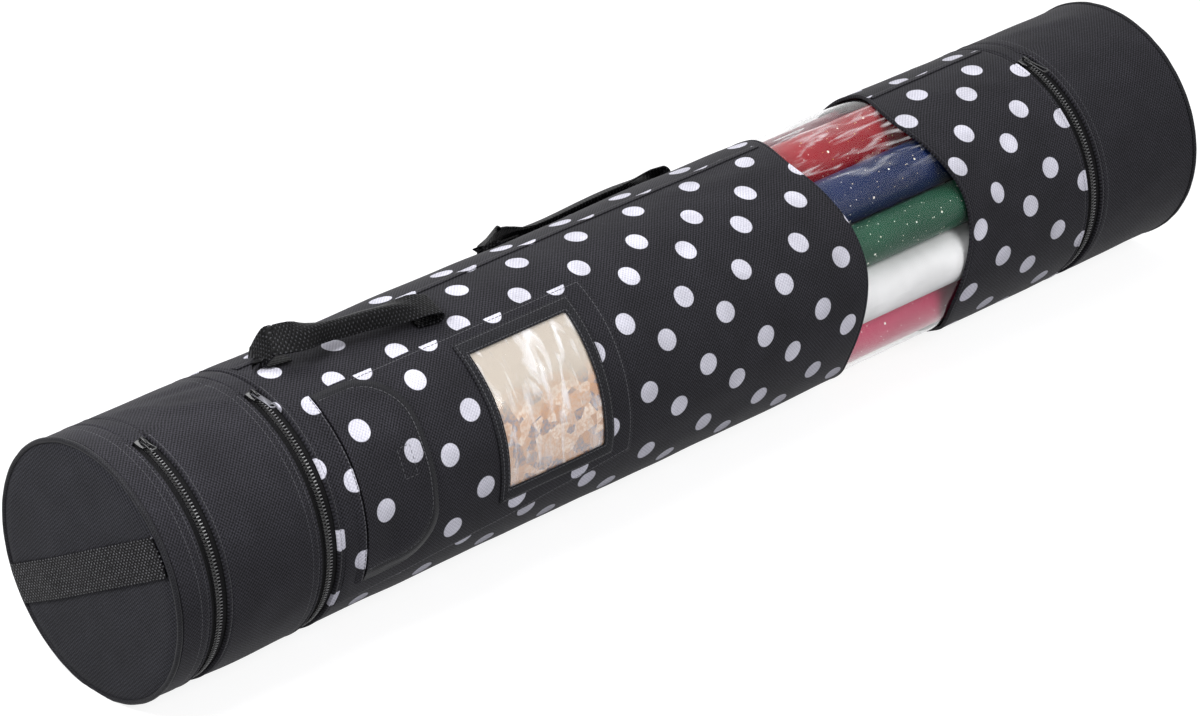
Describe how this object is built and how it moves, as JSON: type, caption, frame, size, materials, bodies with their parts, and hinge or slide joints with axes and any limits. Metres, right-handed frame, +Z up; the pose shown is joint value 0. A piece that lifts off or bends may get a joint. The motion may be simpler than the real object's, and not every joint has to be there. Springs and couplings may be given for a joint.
{
  "type": "gift wrap organizer",
  "caption": "Long round fabric bag for rolls of gift wrap, with a zipped accessory section and lid at one end, a zipped cap at the other, a clear window, pocket and handles.",
  "frame": {"origin": "centre of the bounding box at the base, on the surface that the bag lies on", "axes": "+X along the tube from the lid end to the far cap, +Y from the pocket's side to the back, +Z up"},
  "size_m": [1.0428, 0.1988, 0.2221],
  "materials": {
    "black_fabric": "matt black woven polyester",
    "dotted_fabric": "black woven polyester with pale round dots",
    "end_fabric": "woven polyester over stiff board",
    "webbing": "ribbed black webbing",
    "zip_tape": "black zip tape with a plastic coil",
    "slider_metal": "black painted metal, a little glossy",
    "clear_vinyl": "soft clear vinyl, glossy and a little creased",
    "card_paper": "printed cream card behind film"
  },
  "bodies": {
    "tube": {"tube_sleeve_near": "dotted_fabric", "tube_sleeve_far": "dotted_fabric", "clear_window": "clear_vinyl", "tube_zip_half_near": "zip_tape", "tube_zip_half_far": "zip_tape", "tube_hinge_strip_near": "dotted_fabric", "tube_hinge_strip_far": "dotted_fabric", "top_seam_near": "dotted_fabric", "top_seam_far": "dotted_fabric", "pocket_panel": "dotted_fabric", "flap_hem": "dotted_fabric", "panel_loop_pad": "webbing", "card": "card_paper", "card_film": "clear_vinyl", "card_frame": "dotted_fabric", "carry_handle_near_end": "webbing", "carry_handle_far_end": "webbing", "back_handle_near_end": "webbing", "back_handle_far_end": "webbing"},
    "section": {"section_sleeve": "black_fabric", "section_floor": "end_fabric", "section_zip_half_near": "zip_tape", "section_zip_half_far": "zip_tape", "section_hinge_strip_near": "black_fabric", "section_hinge_strip_far": "black_fabric"},
    "lid": {"lid_band": "black_fabric", "lid_disc": "end_fabric", "lid_piping": "webbing", "lid_end_strap": "webbing", "lid_zip_half": "zip_tape", "lid_hinge_strip": "black_fabric"},
    "far_cap": {"cap_sleeve": "black_fabric", "cap_disc": "end_fabric", "cap_piping": "webbing", "cap_zip_half": "zip_tape", "cap_hinge_strip": "black_fabric"},
    "lid_slider": {"lid_zip_slider": "slider_metal"},
    "lid_pull": {"lid_zip_pull": "slider_metal"},
    "near_slider": {"near_zip_slider": "slider_metal"},
    "near_pull": {"near_zip_pull": "slider_metal"},
    "far_slider": {"far_zip_slider": "slider_metal"},
    "far_pull": {"far_zip_pull": "slider_metal"},
    "flap": {"pocket_flap": "dotted_fabric", "flap_hook_pad": "webbing"},
    "carry_handle": {"carry_handle_grip": "webbing"},
    "back_handle": {"back_handle_grip": "webbing"}
  },
  "joints": [
    {"name": "section_hinge", "type": "hinge", "parent": "tube", "child": "section", "pos_m": [-0.38285, 0.02661, 0.18949], "axis": [0, 0.9659, -0.2588], "range_deg": [0, 110]},
    {"name": "lid_hinge", "type": "hinge", "parent": "section", "child": "lid", "pos_m": [-0.48135, 0.02661, 0.18949], "axis": [0, 0.9659, -0.2588], "range_deg": [0, 110]},
    {"name": "far_cap_hinge", "type": "hinge", "parent": "tube", "child": "far_cap", "pos_m": [0.40165, 0.02661, 0.18949], "axis": [0, -0.9659, 0.2588], "range_deg": [0, 110]},
    {"name": "lid_slider_run", "type": "hinge", "parent": "lid", "child": "lid_slider", "pos_m": [-0.48135, 0.0015, 0.0958], "axis": [1, 0, 0], "range_deg": [0, 300]},
    {"name": "near_slider_run", "type": "hinge", "parent": "tube", "child": "near_slider", "pos_m": [-0.38285, 0.0015, 0.0958], "axis": [1, 0, 0], "range_deg": [0, 300]},
    {"name": "far_slider_run", "type": "hinge", "parent": "tube", "child": "far_slider", "pos_m": [0.40165, 0.0015, 0.0958], "axis": [1, 0, 0], "range_deg": [0, 300]},
    {"name": "lid_pull_swing", "type": "hinge", "parent": "lid_slider", "child": "lid_pull", "pos_m": [-0.48135, -0.01759, 0.19223], "axis": [-1, 0, 0], "range_deg": [0, 140]},
    {"name": "near_pull_swing", "type": "hinge", "parent": "near_slider", "child": "near_pull", "pos_m": [-0.38285, -0.01759, 0.19223], "axis": [-1, 0, 0], "range_deg": [0, 140]},
    {"name": "far_pull_swing", "type": "hinge", "parent": "far_slider", "child": "far_pull", "pos_m": [0.40165, -0.01759, 0.19223], "axis": [-1, 0, 0], "range_deg": [0, 140]},
    {"name": "flap_hinge", "type": "hinge", "parent": "tube", "child": "flap", "pos_m": [-0.3511, -0.09181, 0.13445], "axis": [0, -0.3827, -0.9239], "range_deg": [0, 150]},
    {"name": "carry_handle_flop", "type": "hinge", "parent": "tube", "child": "carry_handle", "pos_m": [-0.3556, 0.01227, 0.19824], "axis": [0.983, -0.1835, -0.0048], "range_deg": [-20, 20]},
    {"name": "back_handle_flop", "type": "hinge", "parent": "tube", "child": "back_handle", "pos_m": [-0.0806, 0.07804, 0.16472], "axis": [0.9964, 0.0516, -0.0672], "range_deg": [-22, 26]}
  ]
}
